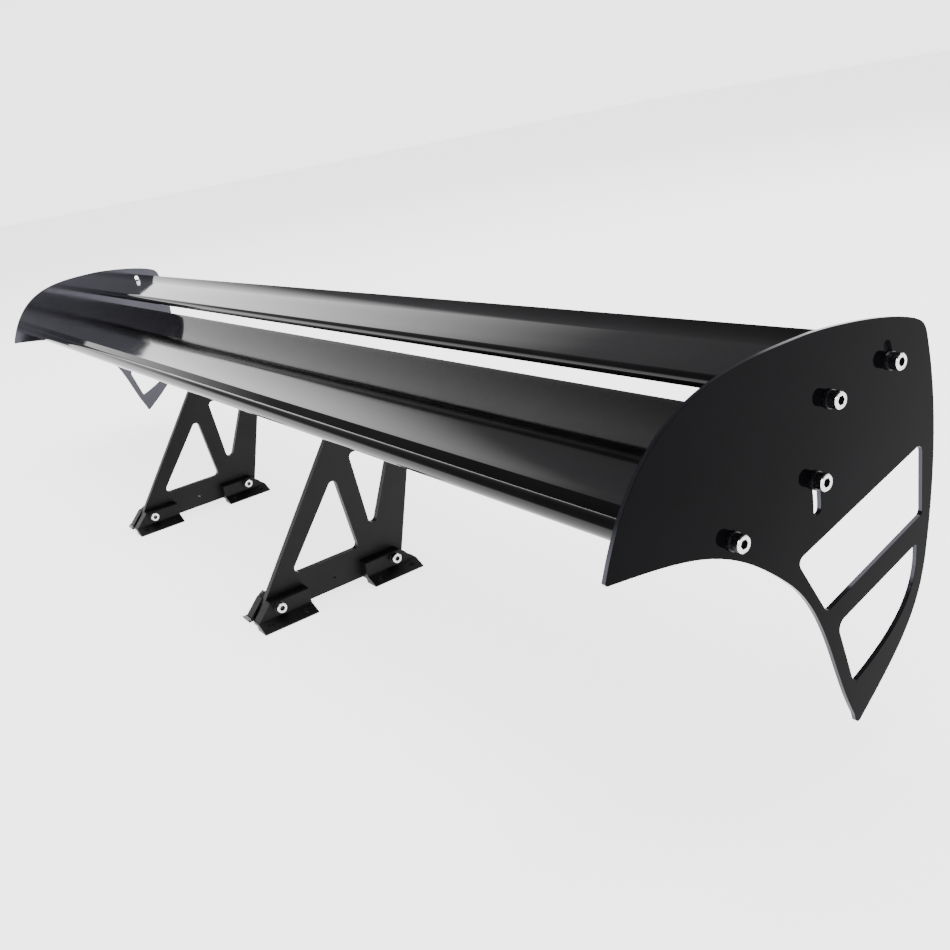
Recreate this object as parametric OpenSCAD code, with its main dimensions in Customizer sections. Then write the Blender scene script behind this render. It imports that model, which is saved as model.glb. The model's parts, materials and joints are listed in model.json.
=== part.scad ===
// Two-plane rear wing between end plates, carried on a pair of cut-out uprights.
// Millimetres. X runs across the car, +Y to the rear, Z up from the boot lid.

/* [Overall] */
// Width over the outer faces of the end plates
span = 1450; // [1200:10:1700]
// Thickness of an end plate
plate_t = 3; // [2:0.5:6]
// Gap between an end plate and the end of a plane
end_gap = 0.2; // [0.1:0.1:0.5]

/* [Uprights and feet] */
// Centre line of the car to the outer face of an upright
upright_x = 197; // [150:1:450]
// How much further out the left upright is clamped
left_offset = 7; // [0:1:20]
// Thickness of an upright
upright_t = 7; // [5:0.5:10]
// Length of a foot bracket
foot_len = 56.7; // [50:0.1:70]
// Thickness of the standing part of a foot bracket
foot_wall = 12; // [8:0.5:14]
// How far a foot bracket reaches out from the upright
foot_reach = 25.4; // [22:0.1:34]
// Radius of the fixing holes through a foot bracket
lid_hole_r = 2.6; // [2:0.1:3]

/* [Adjustment] */
// Travel of the end plates about their front screws, degrees
plate_travel = 15; // [5:1:18]
// Travel of the upper plane about its front screws, degrees
flap_travel = 10; // [4:1:12]

/* [Screws] */
// Radius of a screw shank
shank_r = 3; // [2.5:0.5:4]
// Radius of a socket cap head
head_r = 5; // [4.5:0.25:7]
// Height of a socket cap head
head_h = 6; // [4:0.5:8]
// Radius of a washer
washer_r = 5.5; // [5.2:0.1:8]
// Thickness of a washer
washer_t = 1.6; // [1:0.1:2]

/* [Hidden] */
$fn = 48;
eps = 1;
fit = 0.05;
slot_r = shank_r + 0.3;
plate_in = span / 2 - plate_t;
plane_half = plate_in - end_gap;

// Screw centres seen along X, as [Y, Z]
main_front = [-38.5, 191.6];
main_rear = [28.4, 201.8];
flap_front = [44, 243.7];
flap_rear = [98, 250];

// Main plane section
main_top_r = 510;
main_top_start = [-61, 206.7];
main_top_tilt = [-2, 12];
main_tail = [66, 218.2];
main_belly_r = 157.5;
main_belly_start = [-60, 189.1];
main_belly_tilt = [-12, 36.5];
bead_c = [-73.2, 198.6];
bead_r = 6.5;
bead_sweep = [19, 258];
bead_bore_r = 3.6;
pad_start = [-8, 183.4];
pad_tilt = 18;
pad_len = 46;
pad_slots = [8, 29];

// Upper plane section
flap_nose_r = 5;
flap_top_r = 93.3;
flap_top_start = [89.7, 253.2];
flap_top_tilt = [5, 21];
flap_belly_r = 54.9;
flap_belly_start = [82, 242.2];
flap_belly_tilt = [5, 43.5];
flap_tail = [115, 259];

// Foot bolts, as Y, and their height
foot_bolt_y = [-112, 16.5];
foot_bolt_z = 16.8;
foot_inner = 32.5;
foot_outer = foot_len - foot_inner;
foot_top = 22.6;
foot_under = 4;
foot_root = 7.4;
foot_edge = 1.4;
foot_face_gap = 0.1;
lid_hole_x = 19;
foot_mid = (foot_outer - foot_inner) / 2;
lid_hole_y = [foot_mid - 18.5, foot_mid + 18.5];
nut_h = 5;
nut_r = 10 / sqrt(3);

// Mounting angles under the main plane
angle_t = 4;
angle_w = 30;
angle_drop = 30;
angle_u = [1, 41];
angle_bolt_u = [9, 33];
angle_bolt_n = -19;
rail_screw_x = 16;

// ---- outline helpers ----

function on_circle(c, r, a, b, n) =
  [for (i = [0:n]) c + r * [cos(a + (b - a) * i / n), sin(a + (b - a) * i / n)]];

function bezier(p, q, r, s, n) =
  [for (i = [0:n]) let (t = i / n, u = 1 - t)
    u * u * u * p + 3 * u * u * t * q + 3 * u * t * t * r + t * t * t * s];

function unit(v) = v / norm(v);

// The arc that rounds corner b between its neighbours a and c
function corner(a, b, c, r, n) =
  let (
    u = unit(a - b),
    v = unit(c - b),
    half = acos(u * v) / 2,
    o = b + unit(u + v) * r / sin(half),
    s = b + u * r / tan(half) - o,
    e = b + v * r / tan(half) - o,
    from = atan2(s[1], s[0]),
    turn = (atan2(e[1], e[0]) - from + 540) % 360 - 180
  )
  on_circle(o, r, from, from + turn, n);

function rounded(p, r, n = 8) =
  [for (i = [0:len(p) - 1])
    each corner(p[(i + len(p) - 1) % len(p)], p[i], p[(i + 1) % len(p)], r, n)];

// Slope arc: starts at p, slope angle runs from a to b, curving upwards to the rear
function slope_arc(p, r, a, b, n) =
  on_circle(p + r * [-sin(a), cos(a)], r, a - 90, b - 90, n);

function backwards(list) = [for (i = [len(list) - 1:-1:0]) list[i]];

function turned(p, c, a) =
  c + [(p[0] - c[0]) * cos(a) - (p[1] - c[1]) * sin(a),
       (p[0] - c[0]) * sin(a) + (p[1] - c[1]) * cos(a)];

function angle_of(p, c) = atan2(p[1] - c[1], p[0] - c[0]);

// A child drawn in [Y, Z] runs along X from x0 to x1
module along_x(x0, x1) {
  translate([x0, 0, 0])
    rotate([90, 0, 90])
      linear_extrude(height = x1 - x0)
        children();
}

module rod_x(p, r, x0, x1) {
  translate([x0, p[0], p[1]])
    rotate([0, 90, 0])
      cylinder(h = x1 - x0, r = r);
}

// Arc slot through an end plate, about c, from point p through a turn
module arc_slot(c, p, turn) {
  reach = norm(p - c);
  from = angle_of(p, c);
  way = sign(turn);
  n = 10;
  polygon(concat(
    on_circle(c, reach + slot_r, from, from + turn, n),
    on_circle(turned(p, c, turn), slot_r, from + turn, from + turn + way * 180, n),
    on_circle(c, reach - slot_r, from + turn, from, n),
    on_circle(p, slot_r, from + way * 180, from + way * 360, n)
  ));
}

// ---- main plane ----

module main_outline() {
  top = slope_arc(main_top_start, main_top_r, main_top_tilt[0], main_top_tilt[1], 20);
  belly = slope_arc(main_belly_start, main_belly_r, main_belly_tilt[0], main_belly_tilt[1], 24);
  polygon(concat(
    [main_tail],
    backwards(top),
    on_circle(bead_c, bead_r, bead_sweep[0], bead_sweep[1], 30),
    belly
  ));
}

module pad_outline() {
  translate(pad_start)
    rotate(pad_tilt)
      polygon([[0, 0], [pad_len, 0], [pad_len, 5], [0, 5]]);
}

module rail_slot(u) {
  mouth = 3.3;
  lip = 2.4;
  room = 5.3;
  deep = 6.2;
  translate(pad_start)
    rotate(pad_tilt)
      translate([u, 0])
        polygon([[-mouth, -eps], [mouth, -eps], [mouth, lip], [room, lip],
                 [room, deep], [-room, deep], [-room, lip], [-mouth, lip]]);
}

module main_cavities() {
  polygon(rounded([[-62, 193], [-45, 189.2], [-45, 204.2], [-57.5, 204.2], [-62, 199.8]], 1.2, 4));
  polygon(rounded([[-31, 188.3], [-11, 189.2], [-11, 204.6], [-31, 204]], 1.5, 4));
  polygon(rounded([[-8, 193.8], [20, 202.6], [20, 208], [-8, 205.2]], 1.2, 4));
  polygon(rounded([[34.5, 201.6], [52, 210.2], [52, 213], [34.5, 210]], 0.8, 4));
}

module main_plane() {
  color([0.02, 0.02, 0.022])
    difference() {
      union() {
        along_x(-plane_half, plane_half) main_outline();
        along_x(-plane_half, plane_half) pad_outline();
      }
      along_x(-span / 2, span / 2) main_cavities();
      for (u = pad_slots)
        along_x(-span / 2, span / 2) rail_slot(u);
      rod_x(bead_c, bead_bore_r, -span / 2, span / 2);
      for (p = [main_front, main_rear])
        rod_x(p, shank_r + fit, -span / 2, span / 2);
    }
}

// ---- upper plane ----

module flap_outline() {
  top = slope_arc(flap_top_start, flap_top_r, flap_top_tilt[0], flap_top_tilt[1], 16);
  polygon(concat(
    [flap_tail],
    backwards(top),
    on_circle(flap_front, flap_nose_r, 95, 275, 24),
    slope_arc(flap_belly_start, flap_belly_r, flap_belly_tilt[0], flap_belly_tilt[1], 16)
  ));
}

module flap_cavity() {
  polygon(rounded([[53, 241.7], [80, 244.1], [88.5, 245.6], [91, 251], [53, 247.8]], 1.5, 4));
}

module upper_plane() {
  color([0.02, 0.02, 0.022])
    difference() {
      along_x(-plane_half, plane_half) flap_outline();
      along_x(-span / 2, span / 2) flap_cavity();
      for (p = [flap_front, flap_rear])
        rod_x(p, shank_r + fit, -span / 2, span / 2);
    }
}

// ---- end plates ----

module endplate_outline() {
  polygon(concat(
    bezier([-124.8, 202.8], [-93, 281], [-38.8, 283.2], [28.7, 283.2], 24),
    bezier([28.7, 283.2], [46.4, 283.2], [97.5, 277.9], [122, 268.5], 12),
    bezier([122, 268.5], [133.9, 263.9], [133.6, 260.6], [135.8, 248], 10),
    bezier([135.8, 248], [142.7, 208.7], [137.6, 162], [128.7, 124.2], 14),
    bezier([128.7, 124.2], [120.8, 85.7], [102.6, 67.7], [55.8, 33.6], 14),
    on_circle([54.4, 35.8], 2.6, 303, 205, 6),
    bezier([51, 40], [34.8, 73.2], [33.3, 117.8], [3.3, 148], 16),
    bezier([3.3, 148], [-39.6, 189.8], [-65, 194.3], [-124, 201.5], 18)
  ));
}

module upper_window() {
  polygon(rounded([[9.1, 160.1], [127.2, 191.6], [125.1, 145.4], [31.5, 118.7]], 4.5));
}

module lower_window() {
  curve = bezier([118.3, 122], [116.5, 97], [100, 80], [60, 64.1], 14);
  polygon(concat(
    corner([52.2, 63], [39.9, 106.9], [118.7, 128.5], 7, 8),
    corner([39.9, 106.9], [118.7, 128.5], [118.3, 122], 2, 4),
    curve,
    corner([60, 64.1], [51.8, 61], [39.9, 106.9], 2.5, 6)
  ));
}

module endplate(side) {
  x0 = side > 0 ? plate_in : -span / 2;
  color([0.025, 0.025, 0.03])
    difference() {
      along_x(x0, x0 + plate_t)
        difference() {
          endplate_outline();
          upper_window();
          lower_window();
          arc_slot(main_front, main_rear, -plate_travel);
          arc_slot(flap_front, flap_rear, flap_travel);
        }
      for (p = [main_front, flap_front])
        rod_x(p, shank_r + fit, x0 - eps, x0 + plate_t + eps);
    }
}

module endplate_left() {
  endplate(-1);
}

module endplate_right() {
  endplate(1);
}

// ---- screws of the planes ----

module cap_screw_x(p, seat, dir, length, grip_r = shank_r) {
  socket_r = 2.5 / cos(30);
  translate([seat, p[0], p[1]])
    rotate([0, 90 * dir, 0])
      difference() {
        union() {
          cylinder(h = head_h - 0.5, r = head_r);
          translate([0, 0, head_h - 0.5])
            cylinder(h = 0.5, r1 = head_r, r2 = head_r - 0.5);
          translate([0, 0, -length])
            cylinder(h = length + eps, r = grip_r);
        }
        translate([0, 0, head_h - 3])
          cylinder(h = 3 + eps, r = socket_r, $fn = 6);
      }
}

module washer_x(p, x0, r = washer_r) {
  difference() {
    rod_x(p, r, x0, x0 + washer_t);
    rod_x(p, shank_r + 0.2, x0 - eps, x0 + washer_t + eps);
  }
}

module plane_screws(points) {
  seat = span / 2 + 0.1 + washer_t;
  color([0.75, 0.75, 0.76])
    for (p = points) {
      cap_screw_x(p, seat, 1, 22);
      cap_screw_x(p, -seat, -1, 22);
    }
}

module plane_washers(points) {
  color([0.7, 0.7, 0.71])
    for (p = points) {
      washer_x(p, span / 2 + 0.1);
      washer_x(p, -span / 2 - 0.1 - washer_t);
    }
}

module main_screws() {
  plane_screws([main_front, main_rear]);
}

module main_washers() {
  plane_washers([main_front, main_rear]);
}

module flap_screws() {
  plane_screws([flap_front, flap_rear]);
}

module flap_washers() {
  plane_washers([flap_front, flap_rear]);
}

// ---- uprights ----

function on_pad(u, n) =
  pad_start + [u * cos(pad_tilt) - n * sin(pad_tilt), u * sin(pad_tilt) + n * cos(pad_tilt)];

module upright_outline() {
  polygon([
    [-133, foot_under + 0.2], [-21.5, 154], on_pad(0, 0), on_pad(pad_len, 0),
    [56, 203.5], [68, 128], [57.5, 94.4], [29.5, foot_under + 0.2]
  ]);
}

module upright(x0) {
  color([0.035, 0.035, 0.038])
    difference() {
      along_x(x0, x0 + upright_t)
        difference() {
          upright_outline();
          polygon(rounded([[-89.3, 35.8], [-13, 35.8], [-22, 119.1]], 4.8));
          polygon(rounded([[5.2, 41.2], [47.6, 133], [-1.9, 133]], 5));
        }
      for (y = foot_bolt_y)
        rod_x([y, foot_bolt_z], shank_r + 0.2, x0 - eps, x0 + upright_t + eps);
      for (u = angle_bolt_u)
        rod_x(on_pad(u, angle_bolt_n), shank_r + 0.2, x0 - eps, x0 + upright_t + eps);
      rod_x([-45.6, 16.6], 1.5, x0 - eps, x0 + upright_t + eps);
    }
}

right_x = upright_x - upright_t;
left_x = -upright_x - left_offset;

module upright_left() {
  upright(left_x);
}

module upright_right() {
  upright(right_x);
}

// ---- feet ----

// Section of the bracket in [X, Z], X measured from the face of the upright
module foot_section() {
  round_r = 1.8;
  polygon(concat(
    [[foot_face_gap, foot_under], [foot_wall - 5, foot_under], [foot_wall - 4, 0],
     [foot_reach, 0], [foot_reach, foot_edge], [foot_wall + 1, foot_root - 0.5],
     [foot_wall, foot_root + 0.5]],
    on_circle([foot_wall - round_r, foot_top - round_r], round_r, 0, 90, 6),
    [[foot_face_gap, foot_top]]
  ));
}

// The bracket's outer end is cut back at 45 degrees above the flange
module foot_side() {
  cut = foot_outer - 1;
  polygon([
    [-foot_inner, -eps], [foot_outer, -eps], [foot_outer, foot_root], [cut, foot_root],
    [cut - foot_top + foot_root, foot_top], [cut - foot_top + foot_root, foot_top + eps],
    [-foot_inner, foot_top + eps]
  ]);
}

module foot(x0, face, end) {
  x_mid = x0 + upright_t / 2;
  y_bolt = foot_bolt_y[end > 0 ? 1 : 0];
  color([0.03, 0.03, 0.033])
    translate([x_mid, y_bolt, 0])
      scale([face, end, 1])
        translate([upright_t / 2, 0, 0])
          difference() {
            intersection() {
              translate([0, foot_outer, 0])
                rotate([90, 0, 0])
                  linear_extrude(height = foot_len)
                    foot_section();
              along_x(-eps, foot_reach + eps) foot_side();
            }
            rod_x([0, foot_bolt_z], shank_r + fit, -eps, foot_wall + eps);
            for (y = lid_hole_y)
              translate([lid_hole_x, y, -eps])
                cylinder(h = foot_top, r = lid_hole_r);
          }
}

module foot_left_front_out() {
  foot(left_x, -1, -1);
}

module foot_left_front_in() {
  foot(left_x, 1, -1);
}

module foot_left_rear_out() {
  foot(left_x, -1, 1);
}

module foot_left_rear_in() {
  foot(left_x, 1, 1);
}

module foot_right_front_out() {
  foot(right_x, 1, -1);
}

module foot_right_front_in() {
  foot(right_x, -1, -1);
}

module foot_right_rear_out() {
  foot(right_x, 1, 1);
}

module foot_right_rear_in() {
  foot(right_x, -1, 1);
}

foot_out = foot_wall + 0.1;

module foot_bolts() {
  color([0.75, 0.75, 0.76])
    for (x0 = [left_x, right_x])
      for (y = foot_bolt_y)
        cap_screw_x([y, foot_bolt_z], x0 + upright_t + foot_out + washer_t, 1,
                    upright_t + 2 * foot_out + 2 * washer_t + nut_h + 1.5);
}

module foot_washers() {
  color([0.7, 0.7, 0.71])
    for (x0 = [left_x, right_x])
      for (y = foot_bolt_y) {
        washer_x([y, foot_bolt_z], x0 + upright_t + foot_out);
        washer_x([y, foot_bolt_z], x0 - foot_out - washer_t);
      }
}

module nut_x(p, x0) {
  translate([x0, p[0], p[1]])
    rotate([0, 90, 0])
      difference() {
        cylinder(h = nut_h, r = nut_r, $fn = 6);
        translate([0, 0, -eps])
          cylinder(h = nut_h + 2 * eps, r = shank_r + fit);
      }
}

module foot_nuts() {
  color([0.7, 0.7, 0.71])
    for (x0 = [left_x, right_x])
      for (y = foot_bolt_y)
        nut_x([y, foot_bolt_z], x0 - foot_out - washer_t - nut_h);
}

// ---- mounting angles under the main plane ----

// side is the way the angle reaches out from the upright's face at x_face
module mount_angle(x_face, side) {
  color([0.035, 0.035, 0.038])
    difference() {
      translate([x_face, pad_start[0], pad_start[1]])
        scale([side, 1, 1])
          rotate([pad_tilt, 0, 0])
            translate([0, angle_u[0], 0])
              union() {
                translate([0, 0, -angle_t])
                  cube([angle_w, angle_u[1] - angle_u[0], angle_t]);
                translate([0, 0, -angle_drop])
                  cube([angle_t, angle_u[1] - angle_u[0], angle_drop]);
              }
      for (u = angle_bolt_u)
        rod_x(on_pad(u, angle_bolt_n), shank_r + 0.2, x_face - 10, x_face + 10);
      for (u = pad_slots)
        rail_hole(x_face + side * rail_screw_x, u);
    }
}

module rail_hole(x, u) {
  translate([x, pad_start[0], pad_start[1]])
    rotate([pad_tilt, 0, 0])
      translate([0, u, -10])
        cylinder(h = 20, r = shank_r + 0.2);
}

module mount_angle_left() {
  mount_angle(left_x + upright_t, 1);
}

module mount_angle_right() {
  mount_angle(right_x, -1);
}

module angle_bolts() {
  color([0.12, 0.12, 0.125])
    for (u = angle_bolt_u) {
      cap_screw_x(on_pad(u, angle_bolt_n), right_x + upright_t, 1, upright_t + angle_t + nut_h + 1);
      cap_screw_x(on_pad(u, angle_bolt_n), left_x, -1, upright_t + angle_t + nut_h + 1);
    }
}

module angle_nuts() {
  color([0.7, 0.7, 0.71])
    for (u = angle_bolt_u) {
      nut_x(on_pad(u, angle_bolt_n), right_x - angle_t - nut_h);
      nut_x(on_pad(u, angle_bolt_n), left_x + upright_t + angle_t);
    }
}

rail_x = [left_x + upright_t + rail_screw_x, right_x - rail_screw_x];
rail_nut = [10, 10, 3.2];
rail_lip = 2.4;

module rail_screws() {
  color([0.12, 0.12, 0.125])
    for (x = rail_x)
      for (u = pad_slots)
        translate([x, pad_start[0], pad_start[1]])
          rotate([pad_tilt, 0, 0])
            translate([0, u, -angle_t])
              difference() {
                union() {
                  translate([0, 0, -head_h])
                    cylinder(h = head_h, r = head_r);
                  cylinder(h = angle_t + rail_lip + rail_nut[2] + 0.3, r = shank_r);
                }
                translate([0, 0, -head_h - eps])
                  cylinder(h = 3 + eps, r = 2.5 / cos(30), $fn = 6);
              }
}

module rail_nuts() {
  color([0.7, 0.7, 0.71])
    for (x = rail_x)
      for (u = pad_slots)
        translate([x, pad_start[0], pad_start[1]])
          rotate([pad_tilt, 0, 0])
            translate([0, u, rail_lip])
              difference() {
                translate([-rail_nut[0] / 2, -rail_nut[1] / 2, 0])
                  cube(rail_nut);
                translate([0, 0, -eps])
                  cylinder(h = rail_nut[2] + 2 * eps, r = shank_r + fit);
              }
}

main_plane();
upper_plane();
endplate_left();
endplate_right();
upright_left();
upright_right();
foot_left_front_out();
foot_left_front_in();
foot_left_rear_out();
foot_left_rear_in();
foot_right_front_out();
foot_right_front_in();
foot_right_rear_out();
foot_right_rear_in();
foot_bolts();
foot_nuts();
foot_washers();
mount_angle_left();
mount_angle_right();
angle_bolts();
angle_nuts();
rail_screws();
rail_nuts();
main_screws();
main_washers();
flap_screws();
flap_washers();
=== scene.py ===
import bpy
import bmesh
import json
import math
from mathutils import Matrix, Vector

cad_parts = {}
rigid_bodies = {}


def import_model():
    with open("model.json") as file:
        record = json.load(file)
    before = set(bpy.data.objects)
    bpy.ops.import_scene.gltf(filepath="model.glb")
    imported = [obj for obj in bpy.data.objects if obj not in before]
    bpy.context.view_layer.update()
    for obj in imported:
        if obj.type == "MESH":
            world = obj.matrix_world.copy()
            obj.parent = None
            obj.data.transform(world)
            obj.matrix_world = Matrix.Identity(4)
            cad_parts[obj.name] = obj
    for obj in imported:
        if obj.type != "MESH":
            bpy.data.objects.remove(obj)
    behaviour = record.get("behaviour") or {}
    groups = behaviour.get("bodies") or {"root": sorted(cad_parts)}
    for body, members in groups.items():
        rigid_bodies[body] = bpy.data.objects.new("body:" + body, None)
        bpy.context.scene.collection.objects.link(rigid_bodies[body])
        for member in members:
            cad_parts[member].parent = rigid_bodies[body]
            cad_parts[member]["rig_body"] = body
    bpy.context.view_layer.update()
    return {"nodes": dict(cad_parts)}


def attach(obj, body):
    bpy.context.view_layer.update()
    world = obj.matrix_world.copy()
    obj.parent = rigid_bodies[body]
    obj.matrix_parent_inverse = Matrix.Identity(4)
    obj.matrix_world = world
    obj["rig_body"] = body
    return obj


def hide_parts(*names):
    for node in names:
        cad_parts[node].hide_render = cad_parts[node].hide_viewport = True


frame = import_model()
nodes = frame["nodes"]
print("frame loaded,", len(nodes), "parts")


def deselectAll():
    if bpy.context.object and bpy.context.object.mode != "OBJECT":
        bpy.ops.object.mode_set(mode="OBJECT")
    bpy.ops.object.select_all(action="DESELECT")


def makeActive(obj):
    deselectAll()
    obj.select_set(True)
    bpy.context.view_layer.objects.active = obj


def selectFaces(obj, wanted):
    # edit mode, faces picked by a test on the face
    bpy.ops.mesh.select_mode(type="FACE")
    bpy.ops.mesh.select_all(action="DESELECT")
    mesh = bmesh.from_edit_mesh(obj.data)
    for face in mesh.faces:
        if wanted(face):
            face.select_set(True)
    mesh.select_flush_mode()
    bmesh.update_edit_mesh(obj.data)


def bodyOf(node):
    return nodes[node]["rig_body"]


def newMaterial(name):
    mat = bpy.data.materials.new(name)
    mat.use_nodes = True
    tree = mat.node_tree
    shader = tree.nodes["Principled BSDF"]
    coords = tree.nodes.new("ShaderNodeTexCoord")
    return mat, tree, shader, coords


def stretched(tree, coords, scale):
    mapping = tree.nodes.new("ShaderNodeMapping")
    mapping.inputs["Scale"].default_value = scale
    tree.links.new(coords.outputs["Object"], mapping.inputs["Vector"])
    return mapping


def noiseOn(tree, source, scale, detail=3.0, rough=0.55):
    noise = tree.nodes.new("ShaderNodeTexNoise")
    noise.inputs["Scale"].default_value = scale
    noise.inputs["Detail"].default_value = detail
    noise.inputs["Roughness"].default_value = rough
    tree.links.new(source, noise.inputs["Vector"])
    return noise


def toRange(tree, value, low, high, fromLow=0.3, fromHigh=0.7):
    node = tree.nodes.new("ShaderNodeMapRange")
    node.inputs["From Min"].default_value = fromLow
    node.inputs["From Max"].default_value = fromHigh
    node.inputs["To Min"].default_value = low
    node.inputs["To Max"].default_value = high
    tree.links.new(value, node.inputs["Value"])
    return node


def twoTone(tree, value, dark, light):
    ramp = tree.nodes.new("ShaderNodeValToRGB")
    ramp.color_ramp.elements[0].position = 0.35
    ramp.color_ramp.elements[0].color = (*dark, 1)
    ramp.color_ramp.elements[1].position = 0.65
    ramp.color_ramp.elements[1].color = (*light, 1)
    tree.links.new(value, ramp.inputs["Fac"])
    return ramp


def lifted(tone, factor):
    return tuple(factor * c for c in tone)


def bumpFrom(tree, shader, height, strength, distance):
    bump = tree.nodes.new("ShaderNodeBump")
    bump.inputs["Strength"].default_value = strength
    bump.inputs["Distance"].default_value = distance
    tree.links.new(height, bump.inputs["Height"])
    tree.links.new(bump.outputs["Normal"], shader.inputs["Normal"])
    return bump


planeFinish = {
    "dark": (0.002, 0.002, 0.0022),
    "light": (0.004, 0.004, 0.0045),
    "roughLow": 0.035,
    "roughHigh": 0.08,
    "gloss": 0.26,
    "cloud": 14.0,
    "wave": (1.1, 9.0, 9.0),        # slow waves left by drawing and polishing
    "waveBump": 0.5,
    "waveDeep": 0.004,
    "lines": (3.0, 900.0, 900.0),   # drawn lines run along the extrusion
    "lineBump": 0.05,
    "lineDeep": 0.0001,
}


def extrudedBlack(cfg=planeFinish):
    mat, tree, shader, coords = newMaterial("extrudedBlack")
    drawn = stretched(tree, coords, cfg["lines"])
    lines = noiseOn(tree, drawn.outputs["Vector"], 1.0, 2.0)
    cloud = noiseOn(tree, coords.outputs["Object"], cfg["cloud"], 4.0)
    tone = twoTone(tree, cloud.outputs["Fac"], cfg["dark"], cfg["light"])
    tree.links.new(tone.outputs["Color"], shader.inputs["Base Color"])
    rough = toRange(tree, lines.outputs["Fac"], cfg["roughLow"], cfg["roughHigh"])
    tree.links.new(rough.outputs["Result"], shader.inputs["Roughness"])
    fine = bumpFrom(tree, shader, lines.outputs["Fac"], cfg["lineBump"], cfg["lineDeep"])
    slow = stretched(tree, coords, cfg["wave"])
    waves = noiseOn(tree, slow.outputs["Vector"], 1.0, 1.0)
    broad = tree.nodes.new("ShaderNodeBump")
    broad.inputs["Strength"].default_value = cfg["waveBump"]
    broad.inputs["Distance"].default_value = cfg["waveDeep"]
    tree.links.new(waves.outputs["Fac"], broad.inputs["Height"])
    tree.links.new(broad.outputs["Normal"], fine.inputs["Normal"])
    shader.inputs["Specular IOR Level"].default_value = cfg["gloss"]
    return mat


plateFinish = {
    "outer": (0.0013, 0.0013, 0.0017),
    "lift": (1.5, 1.15),            # how far each tone brightens in its patches
    "paintedReflection": (0.045, 0.045, 0.053),  # painted reflection and edge highlight: inner faces and cut edges get a bright mirror tone, while the outer face of the same plate stays dull
    "reflectionMetal": 0.85,
    "innerWithin": 0.7247,          # metres from the centre line, the outer face is further
    "cloud": 11.0,
    "haze": 60.0,
    "roughLow": 0.045,
    "roughHigh": 0.085,
    "peel": 260.0,
    "peelBump": 0.03,
    "peelDeep": 0.0001,
    "gloss": 0.025,
}


def plateBlack(cfg=plateFinish):
    mat, tree, shader, coords = newMaterial("plateBlack")
    split = tree.nodes.new("ShaderNodeSeparateXYZ")
    tree.links.new(coords.outputs["Object"], split.inputs["Vector"])
    side = tree.nodes.new("ShaderNodeMath")
    side.operation = "ABSOLUTE"
    tree.links.new(split.outputs["X"], side.inputs[0])
    # faces nearer the centre line than the outer face take the painted reflection tone and metal
    paintedReflection = tree.nodes.new("ShaderNodeMath")
    paintedReflection.operation = "LESS_THAN"
    paintedReflection.inputs[1].default_value = cfg["innerWithin"]
    tree.links.new(side.outputs["Value"], paintedReflection.inputs[0])
    cloud = noiseOn(tree, coords.outputs["Object"], cfg["cloud"], 5.0)
    outerLift, reflectionLift = cfg["lift"]
    outerTone = twoTone(tree, cloud.outputs["Fac"], cfg["outer"], lifted(cfg["outer"], outerLift))
    reflectionTone = twoTone(tree, cloud.outputs["Fac"], cfg["paintedReflection"], lifted(cfg["paintedReflection"], reflectionLift))
    pick = tree.nodes.new("ShaderNodeMix")
    pick.data_type = "RGBA"
    tree.links.new(paintedReflection.outputs["Value"], pick.inputs[0])
    tree.links.new(outerTone.outputs["Color"], pick.inputs[6])
    tree.links.new(reflectionTone.outputs["Color"], pick.inputs[7])
    tree.links.new(pick.outputs[2], shader.inputs["Base Color"])
    metal = toRange(tree, paintedReflection.outputs["Value"], 0.0, cfg["reflectionMetal"], 0.0, 1.0)
    tree.links.new(metal.outputs["Result"], shader.inputs["Metallic"])
    haze = noiseOn(tree, coords.outputs["Object"], cfg["haze"], 6.0)
    rough = toRange(tree, haze.outputs["Fac"], cfg["roughLow"], cfg["roughHigh"])
    tree.links.new(rough.outputs["Result"], shader.inputs["Roughness"])
    peel = noiseOn(tree, coords.outputs["Object"], cfg["peel"], 2.0)
    bumpFrom(tree, shader, peel.outputs["Fac"], cfg["peelBump"], cfg["peelDeep"])
    shader.inputs["Specular IOR Level"].default_value = cfg["gloss"]
    return mat


coatFinish = {
    "dark": (0.0022, 0.0022, 0.0026),
    "light": (0.0042, 0.0042, 0.0047),
    "roughLow": 0.34,
    "roughHigh": 0.48,
    "gloss": 0.12,
    "cloud": 18.0,
    "grain": 1500.0,
    "grainBump": 0.16,
    "grainDeep": 0.0002,
}


def powderBlack(name, cfg=coatFinish, lift=1.0):
    mat, tree, shader, coords = newMaterial(name)
    cloud = noiseOn(tree, coords.outputs["Object"], cfg["cloud"], 5.0)
    dark, light = lifted(cfg["dark"], lift), lifted(cfg["light"], lift)
    tone = twoTone(tree, cloud.outputs["Fac"], dark, light)
    tree.links.new(tone.outputs["Color"], shader.inputs["Base Color"])
    grain = noiseOn(tree, coords.outputs["Object"], cfg["grain"], 3.0)
    rough = toRange(tree, grain.outputs["Fac"], cfg["roughLow"], cfg["roughHigh"])
    tree.links.new(rough.outputs["Result"], shader.inputs["Roughness"])
    bumpFrom(tree, shader, grain.outputs["Fac"], cfg["grainBump"], cfg["grainDeep"])
    shader.inputs["Specular IOR Level"].default_value = cfg["gloss"]
    return mat


steelFinish = {
    "bright": ((0.50, 0.50, 0.51), (0.74, 0.74, 0.75)),
    # the black tones are real black oxide on the bolts and washers, and painted shade on the cap
    # screws' knurled sides and sockets
    "blackAndShade": ((0.035, 0.035, 0.038), (0.07, 0.07, 0.075)),
    "brightRough": (0.09, 0.18),
    "blackRough": (0.30, 0.45),
    "grain": 900.0,
    "grainBump": 0.08,
    "grainDeep": 0.0001,
}


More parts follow.
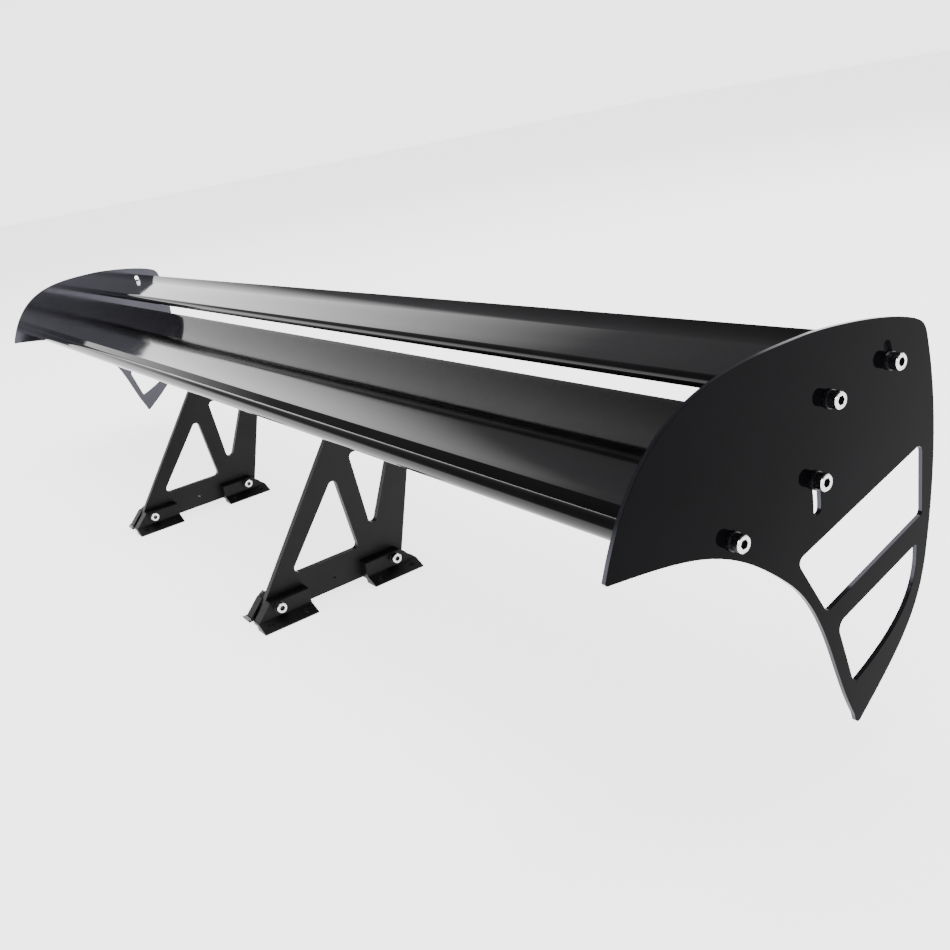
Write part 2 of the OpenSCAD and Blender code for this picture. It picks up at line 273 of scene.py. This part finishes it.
def screwSteel(name, tones, roughs, cfg=steelFinish):
    mat, tree, shader, coords = newMaterial(name)
    grain = noiseOn(tree, coords.outputs["Object"], cfg["grain"], 4.0)
    tone = twoTone(tree, grain.outputs["Fac"], *tones)
    tree.links.new(tone.outputs["Color"], shader.inputs["Base Color"])
    rough = toRange(tree, grain.outputs["Fac"], *roughs)
    tree.links.new(rough.outputs["Result"], shader.inputs["Roughness"])
    bumpFrom(tree, shader, grain.outputs["Fac"], cfg["grainBump"], cfg["grainDeep"])
    shader.inputs["Metallic"].default_value = 1.0
    return mat


extruded = extrudedBlack()
plateSkin = plateBlack()
uprightSkin = powderBlack("uprightPowder")
footSkin = powderBlack("footPowder", lift=0.9)
zincSteel = screwSteel("zincSteel", steelFinish["bright"], steelFinish["brightRough"])
oxideAndShadeSteel = screwSteel("oxideAndShadeSteel", steelFinish["blackAndShade"], steelFinish["blackRough"])

finishOf = {
    "main_plane": extruded, "upper_plane": extruded,
    "endplate": plateSkin, "upright": uprightSkin, "mount_angle": uprightSkin,
    "foot_left": footSkin, "foot_right": footSkin,
    "angle_bolts": oxideAndShadeSteel, "rail_screws": oxideAndShadeSteel,
    "main_washers": oxideAndShadeSteel, "flap_washers": oxideAndShadeSteel, "foot_washers": oxideAndShadeSteel,
}


def finishFor(node):
    for start, mat in finishOf.items():
        if node.startswith(start):
            return mat
    return zincSteel


def paint(obj, mat):
    obj.data.materials.clear()
    obj.data.materials.append(mat)


for name, obj in nodes.items():
    paint(obj, finishFor(name))
print("finishes made")


easing = {
    "merge": 0.00001,     # metres, vertices nearer than this are one
    "flatAngle": 0.2,     # degrees, faces this close are one flat face
    "smoothAngle": 50,
}
easedParts = {
    # node: (edge width in metres, segments, angle over which an edge is eased)
    "endplate_left": (0.0006, 2, 40),
    "endplate_right": (0.0006, 2, 40),
    "upright_left": (0.0006, 2, 40),
    "upright_right": (0.0006, 2, 40),
    "mount_angle_left": (0.0005, 2, 40),
    "mount_angle_right": (0.0005, 2, 40),
    "main_plane": (0.0003, 2, 35),
    "upper_plane": (0.0003, 2, 35),
}
for node in nodes:
    if node.startswith(("foot_left", "foot_right")):
        easedParts[node] = (0.0005, 2, 34)


def easedCopy(node, width, segments, degrees, cfg=easing):
    source = nodes[node]
    obj = source.copy()
    obj.data = source.data.copy()
    obj.name = "eased_" + node
    obj.parent = None
    for key in list(obj.keys()):
        del obj[key]
    bpy.context.scene.collection.objects.link(obj)
    makeActive(obj)
    bpy.ops.object.mode_set(mode="EDIT")
    bpy.ops.mesh.select_all(action="SELECT")
    bpy.ops.mesh.remove_doubles(threshold=cfg["merge"])
    bpy.ops.mesh.dissolve_limited(angle_limit=math.radians(cfg["flatAngle"]))
    bpy.ops.mesh.normals_make_consistent(inside=False)
    bpy.ops.object.mode_set(mode="OBJECT")
    bevel = obj.modifiers.new("ease", "BEVEL")
    bevel.width = width
    bevel.segments = segments
    bevel.limit_method = "ANGLE"
    bevel.angle_limit = math.radians(degrees)
    bevel.use_clamp_overlap = True
    bpy.ops.object.modifier_apply(modifier=bevel.name)
    bpy.ops.object.shade_smooth_by_angle(angle=math.radians(cfg["smoothAngle"]))
    flats = obj.modifiers.new("flats", "WEIGHTED_NORMAL")   # keeps the big faces flat
    flats.weight = 100
    flats.keep_sharp = True
    bpy.ops.object.modifier_apply(modifier=flats.name)
    paint(obj, finishFor(node))
    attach(obj, bodyOf(node))
    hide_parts(node)


for node, (width, segments, degrees) in easedParts.items():
    easedCopy(node, width, segments, degrees)
print("edges eased on", len(easedParts), "parts")


capScrewShape = {
    "headRadius": 0.005,
    "headHeight": 0.006,
    "chamfer": 0.0005,
    "sides": 60,
    "knurlEdge": 0.0001,
    "knurlDeep": 0.00022,
    "ringWidth": 0.0008,
    "rimWidth": 0.0002,
    "rimDrop": 0.0001,
    "socketRadius": 0.00288,
    "socketDeep": 0.003,
    "shankRadius": 0.003,
    "pitch": 0.001,
    "threadDeep": 0.00032,
    "smoothAngle": 25,
    "brightDepth": 0.001,
}


def sinkKnurl(obj, cfg):
    # every second side face goes in a little
    step = 2 * math.pi / cfg["sides"]

    def everyOther(face):
        c = face.calc_center_median()
        turn = int(round(math.atan2(c.y, c.x) / step - 0.5))
        return abs(face.normal.z) < 0.5 and turn % 2 == 0

    selectFaces(obj, everyOther)
    bpy.ops.mesh.inset(thickness=cfg["knurlEdge"], use_individual=True)
    bpy.ops.transform.shrink_fatten(value=-cfg["knurlDeep"])


def openTop(obj, cfg):
    # chamfer, flat ring and an eased rim, then the middle is taken out
    def top(face):
        return face.normal.z > 0.99

    selectFaces(obj, top)
    bpy.ops.mesh.inset(thickness=cfg["chamfer"], depth=cfg["chamfer"])
    bpy.ops.mesh.inset(thickness=cfg["ringWidth"])
    bpy.ops.mesh.inset(thickness=cfg["rimWidth"], depth=-cfg["rimDrop"])
    bpy.ops.mesh.delete(type="ONLY_FACE")
    bpy.ops.mesh.select_mode(type="EDGE")
    bpy.ops.mesh.select_non_manifold()


def sinkSocket(obj, cfg):
    # the round rim is bridged to a hexagon, and the hexagon goes down
    level = cfg["headHeight"] - cfg["rimDrop"]
    bpy.ops.mesh.primitive_circle_add(vertices=6, radius=cfg["socketRadius"], fill_type="NOTHING",
                                      location=(0, 0, level))
    bpy.ops.mesh.select_non_manifold()
    bpy.ops.mesh.bridge_edge_loops()

    def onHexagon(point):
        offRadius = abs(math.hypot(point.x, point.y) - cfg["socketRadius"])
        return offRadius < 0.00002 and point.z > level - 0.0001

    mesh = bmesh.from_edit_mesh(obj.data)
    for edge in mesh.edges:
        edge.select = False
    for edge in mesh.edges:
        edge.select = edge.is_boundary and all(onHexagon(v.co) for v in edge.verts)
    bmesh.update_edit_mesh(obj.data)
    down = cfg["rimDrop"] - cfg["socketDeep"]
    bpy.ops.mesh.extrude_region_move(TRANSFORM_OT_translate={"value": (0, 0, down)})
    bpy.ops.mesh.edge_face_add()


def runThread(obj, length, cfg):
    # the shank goes down from the seat, in and out once for each turn
    def bottom(face):
        return face.normal.z < -0.99 and face.calc_center_median().z < 0.0001

    selectFaces(obj, bottom)
    bpy.ops.mesh.inset(thickness=cfg["headRadius"] - cfg["shankRadius"])
    threads = int(length / cfg["pitch"])
    narrow = 1 - cfg["threadDeep"] / cfg["shankRadius"]
    half = (0, 0, -length / threads / 2)
    for turn in range(threads):
        bpy.ops.mesh.extrude_region_move(TRANSFORM_OT_translate={"value": half})
        bpy.ops.transform.resize(value=(narrow, narrow, 1), center_override=(0, 0, 0))
        bpy.ops.mesh.extrude_region_move(TRANSFORM_OT_translate={"value": half})
        if turn < threads - 1:
            bpy.ops.transform.resize(value=(1 / narrow, 1 / narrow, 1), center_override=(0, 0, 0))


def paintHead(obj, cfg):
    # painted shade: only the end of the head keeps the bright steel, and the knurled sides, the
    # socket and the rest take the dark oxide steel
    paint(obj, zincSteel)
    obj.data.materials.append(oxideAndShadeSteel)
    endFace = cfg["headHeight"] - cfg["brightDepth"]
    for face in obj.data.polygons:
        # faces off the end of the head get the dark steel as painted shade
        bright = face.normal.z > 0.5 and face.center.z > endFace
        face.material_index = 0 if bright else 1


def capScrew(name, length, cfg=capScrewShape):
    # stands on its seat at z = 0, head up and shank down
    deselectAll()
    body = cfg["headHeight"] - cfg["chamfer"]
    bpy.ops.mesh.primitive_cylinder_add(vertices=cfg["sides"], radius=cfg["headRadius"],
                                        depth=body, location=(0, 0, body / 2))
    obj = bpy.context.object
    obj.name = name
    bpy.ops.object.transform_apply(location=True, rotation=False, scale=False)
    bpy.ops.object.mode_set(mode="EDIT")
    sinkKnurl(obj, cfg)
    openTop(obj, cfg)
    sinkSocket(obj, cfg)
    runThread(obj, length, cfg)
    bpy.ops.mesh.select_all(action="SELECT")
    bpy.ops.mesh.normals_make_consistent(inside=False)
    bpy.ops.object.mode_set(mode="OBJECT")
    bpy.ops.object.shade_smooth_by_angle(angle=math.radians(cfg["smoothAngle"]))
    paintHead(obj, cfg)
    return obj


def screwSet(name, node, model, places):
    # places: (x, y, z, way the head points along x)
    made = []
    for x, y, z, way in places:
        one = model.copy()
        one.data = model.data.copy()
        bpy.context.scene.collection.objects.link(one)
        turn = Matrix.Rotation(way * math.pi / 2, 4, "Y")
        one.data.transform(Matrix.Translation((x, y, z)) @ turn)
        made.append(one)
    deselectAll()
    for one in made:
        one.select_set(True)
    bpy.context.view_layer.objects.active = made[0]
    bpy.ops.object.join()
    group = bpy.context.object
    group.name = name
    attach(group, bodyOf(node))
    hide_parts(node)


planeScrews = {
    "seat": 0.7267,     # under the heads, and the places below are y and z
    "length": 0.022,
    "main": ((-0.0385, 0.1916), (0.0284, 0.2018)),
    "flap": ((0.044, 0.2437), (0.098, 0.250)),
}
footScrews = {
    "seats": (0.2107, -0.1833),
    "length": 0.0409,
    "places": ((-0.112, 0.0168), (0.0165, 0.0168)),
}


def bothEnds(pairs, seat):
    return [(way * seat, y, z, way) for y, z in pairs for way in (1, -1)]


shortScrew = capScrew("shortScrew", planeScrews["length"])
longScrew = capScrew("longScrew", footScrews["length"])
screwSet("knurledMainScrews", "main_screws", shortScrew,
         bothEnds(planeScrews["main"], planeScrews["seat"]))
screwSet("knurledFlapScrews", "flap_screws", shortScrew,
         bothEnds(planeScrews["flap"], planeScrews["seat"]))
screwSet("knurledFootScrews", "foot_bolts", longScrew,
         [(x, y, z, 1) for x in footScrews["seats"] for y, z in footScrews["places"]])
for model in (shortScrew, longScrew):
    bpy.data.objects.remove(model, do_unlink=True)
print("cap screws made")


studio = {
    "floorSize": 40.0,
    "floorDrop": 0.0003,            # keeps the floor just clear of the feet
    "floorTone": (0.93, 0.93, 0.93),
    "floorLight": (0.95, 0.95, 0.95),
    "floorFibre": 6.0,
    "floorRough": 0.9,
    "floorGloss": 0.1,
    "floorGlow": 2.4,
    "skyLow": (1.0, 1.0, 1.0),
    "skyMid": (0.075, 0.075, 0.078),
    "skyHigh": (0.03, 0.03, 0.031),
    "skyLowUpTo": 0.15,             # heights on the sky, 0 level and 1 straight up
    "skyMidAt": 0.34,
    "skyHighAt": 0.85,
    "skyStrength": 3.2,
}


def makeFloor(cfg=studio):
    deselectAll()
    bpy.ops.mesh.primitive_plane_add(size=cfg["floorSize"], location=(0, 0, -cfg["floorDrop"]))
    floor = bpy.context.object
    floor.name = "studioFloor"
    bpy.ops.object.transform_apply(location=True, rotation=False, scale=False)
    mat, tree, shader, coords = newMaterial("floorPaper")
    fibre = noiseOn(tree, coords.outputs["Object"], cfg["floorFibre"], 4.0)
    tone = twoTone(tree, fibre.outputs["Fac"], cfg["floorTone"], cfg["floorLight"])
    tree.links.new(tone.outputs["Color"], shader.inputs["Base Color"])
    shader.inputs["Roughness"].default_value = cfg["floorRough"]
    shader.inputs["Specular IOR Level"].default_value = cfg["floorGloss"]
    shader.inputs["Emission Color"].default_value = (1, 1, 1, 1)
    shader.inputs["Emission Strength"].default_value = cfg["floorGlow"]
    paint(floor, mat)


def makeSky(cfg=studio):
    world = bpy.data.worlds.new("studioSky")
    world.use_nodes = True
    bpy.context.scene.world = world
    tree = world.node_tree
    back = tree.nodes["Background"]
    coords = tree.nodes.new("ShaderNodeTexCoord")
    split = tree.nodes.new("ShaderNodeSeparateXYZ")
    ramp = tree.nodes.new("ShaderNodeValToRGB")
    tree.links.new(coords.outputs["Generated"], split.inputs["Vector"])
    tree.links.new(split.outputs["Z"], ramp.inputs["Fac"])
    ramp.color_ramp.elements[0].position = cfg["skyLowUpTo"]
    ramp.color_ramp.elements[0].color = (*cfg["skyLow"], 1)
    ramp.color_ramp.elements[1].position = cfg["skyMidAt"]
    ramp.color_ramp.elements[1].color = (*cfg["skyMid"], 1)
    high = ramp.color_ramp.elements.new(cfg["skyHighAt"])
    high.color = (*cfg["skyHigh"], 1)
    tree.links.new(ramp.outputs["Color"], back.inputs["Color"])
    back.inputs["Strength"].default_value = cfg["skyStrength"]


softLights = {
    # name: (place, aimed at, width, height, watts)
    "behindWing": ((0.4, 3.0, 2.6), (0, 0, 0.2), 3.2, 1.0, 50),
    "fromRight": ((3.2, -1.6, 1.6), (0.2, 0, 0.1), 1.2, 1.2, 35),
    "overFloor": ((0, 0, 4.2), (0, 0, 0), 5.0, 5.0, 240),
}


def softLight(name, place, target, width, height, watts):
    lamp = bpy.data.lights.new(name, "AREA")
    lamp.shape = "RECTANGLE"
    lamp.size = width
    lamp.size_y = height
    lamp.energy = watts
    obj = bpy.data.objects.new(name, lamp)
    bpy.context.scene.collection.objects.link(obj)
    look = Vector(target) - Vector(place)
    obj.location = place
    obj.rotation_euler = look.to_track_quat("-Z", "Y").to_euler()


view = {
    "place": (1.0607, -0.388, 0.418),
    "right": (0.56204, 0.80904, -0.17197),
    "up": (-0.18487, 0.32553, 0.92729),
    "forward": (-0.80619, 0.48938, -0.33253),
    "lens": 38.0,
    "sensor": 36.0,
    "clip": (0.02, 100),
}


def makeCamera(cfg=view):
    cam = bpy.data.cameras.new("viewCamera")
    cam.lens = cfg["lens"]
    cam.sensor_width = cfg["sensor"]
    cam.clip_start, cam.clip_end = cfg["clip"]
    obj = bpy.data.objects.new("viewCamera", cam)
    bpy.context.scene.collection.objects.link(obj)
    right = Vector(cfg["right"]).normalized()
    back = -Vector(cfg["forward"]).normalized()
    up = back.cross(right)
    turn = Matrix((right, up, back)).transposed()
    obj.matrix_world = Matrix.Translation(Vector(cfg["place"])) @ turn.to_4x4()
    bpy.context.scene.camera = obj


makeFloor()
makeSky()
for name, cfg in softLights.items():
    softLight(name, *cfg)
makeCamera()
print("stage, lights and camera set")
